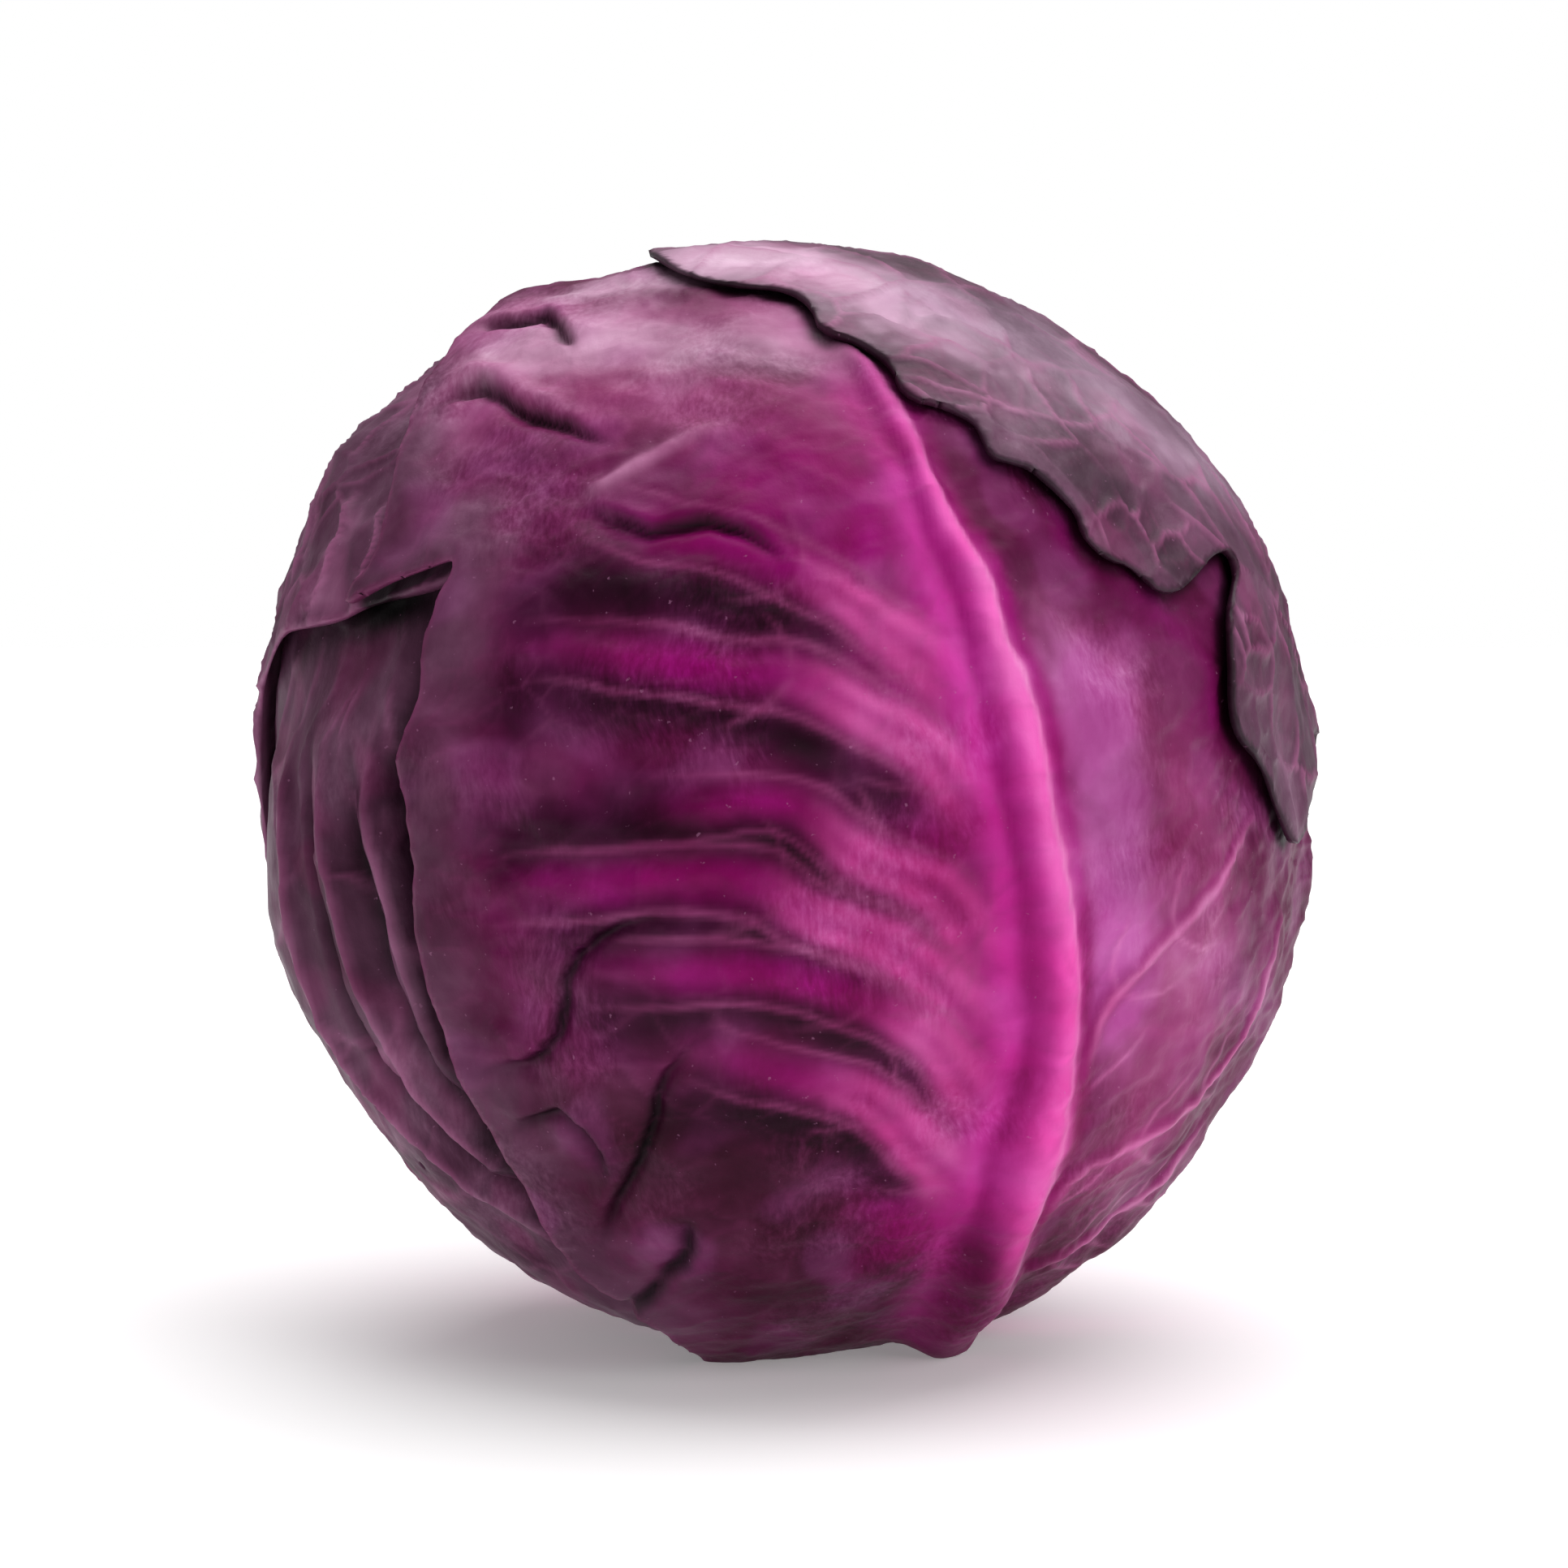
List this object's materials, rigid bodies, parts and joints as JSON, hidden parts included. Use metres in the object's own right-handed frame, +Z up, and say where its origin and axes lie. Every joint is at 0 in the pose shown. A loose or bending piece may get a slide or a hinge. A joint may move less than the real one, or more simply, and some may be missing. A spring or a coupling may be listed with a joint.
{
  "type": "cabbage head",
  "caption": "Round head of red cabbage: overlapping veined wrapper leaves closed round a dense heart on a tapering stalk, trimmed flat below so that it stands.",
  "frame": {"origin": "middle of the stalk's flat cut face, on the surface that the head stands on", "axes": "+Z up through the head, -Y towards the large front leaf, +X to the right as that leaf is faced"},
  "size_m": [0.1496, 0.1504, 0.154],
  "materials": {
    "stalk_pith": "moist cut pith, pale violet",
    "inner_leaf": "smooth waxy leaf",
    "wrapper_leaf_left": "waxy leaf with greyish bloom",
    "wrapper_leaf_right": "waxy leaf with greyish bloom",
    "wrapper_leaf_back": "waxy leaf with greyish bloom",
    "wrapper_leaf_upper_left": "waxy leaf with greyish bloom",
    "wrapper_leaf_front": "waxy magenta leaf with pink ribs",
    "wrapper_leaf_top": "waxy leaf with lilac bloom"
  },
  "bodies": {
    "root": {"stalk": "stalk_pith", "heart": "inner_leaf", "leaf_left": "wrapper_leaf_left", "leaf_right": "wrapper_leaf_right", "leaf_back": "wrapper_leaf_back", "leaf_upper_left": "wrapper_leaf_upper_left", "leaf_front": "wrapper_leaf_front", "leaf_top": "wrapper_leaf_top"}
  },
  "joints": []
}
